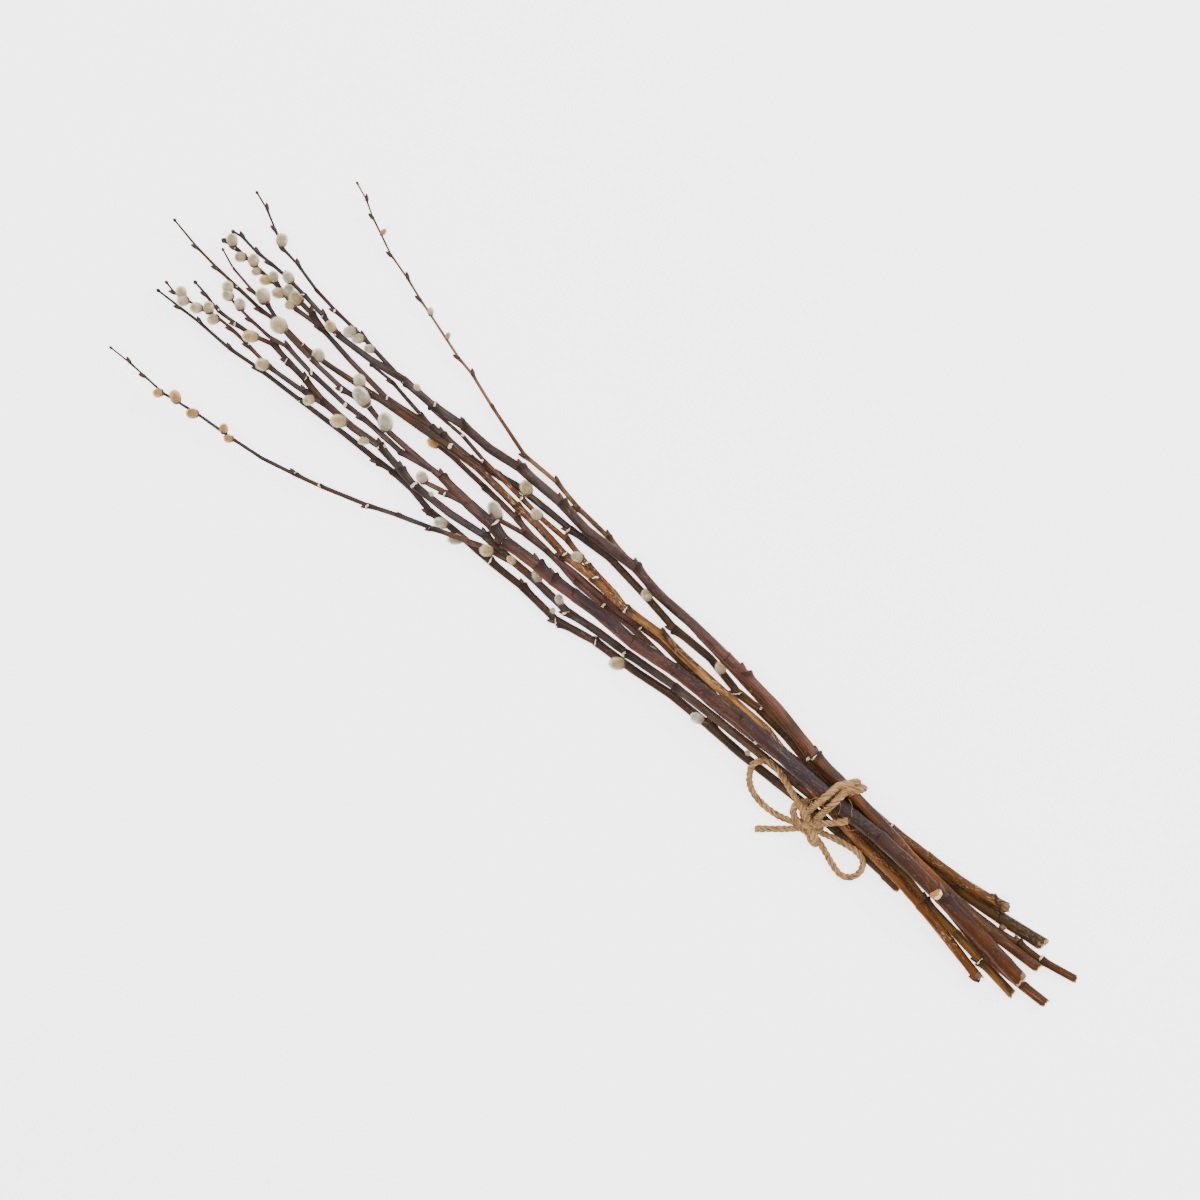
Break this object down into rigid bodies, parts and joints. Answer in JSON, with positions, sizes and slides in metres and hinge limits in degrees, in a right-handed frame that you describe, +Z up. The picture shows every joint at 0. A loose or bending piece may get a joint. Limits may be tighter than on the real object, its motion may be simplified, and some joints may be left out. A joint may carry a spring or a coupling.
{
  "type": "tied pussy willow bunch",
  "caption": "Cut pussy willow branches with furry catkins, lying in a bunch and tied near the cut ends with a jute twine bow.",
  "frame": {"origin": "middle of the footprint, at the level of the table that the bunch lies on", "axes": "+X along the bunch from the cut ends to the tips, +Y across it to the side of the bow, +Z up"},
  "size_m": [0.65, 0.162, 0.0305],
  "materials": {
    "bark_dark": "satin dark brown bark with pale bud scars",
    "bark_red": "satin reddish-brown bark with pale bud scars",
    "bark_olive": "satin olive-brown bark with pale bud scars",
    "bark_orange": "satin orange-brown bark with pale bud scars",
    "catkin_fur": "soft silvery-cream fur",
    "jute": "matt twisted natural fibre"
  },
  "bodies": {
    "root": {"branch_01": "bark_dark", "branch_02": "bark_dark", "branch_03": "bark_red", "branch_04": "bark_olive", "branch_05": "bark_olive", "branch_06": "bark_orange", "branch_07": "bark_orange", "branch_08": "bark_red", "branch_09": "bark_red", "jute_twine": "jute"}
  },
  "joints": []
}
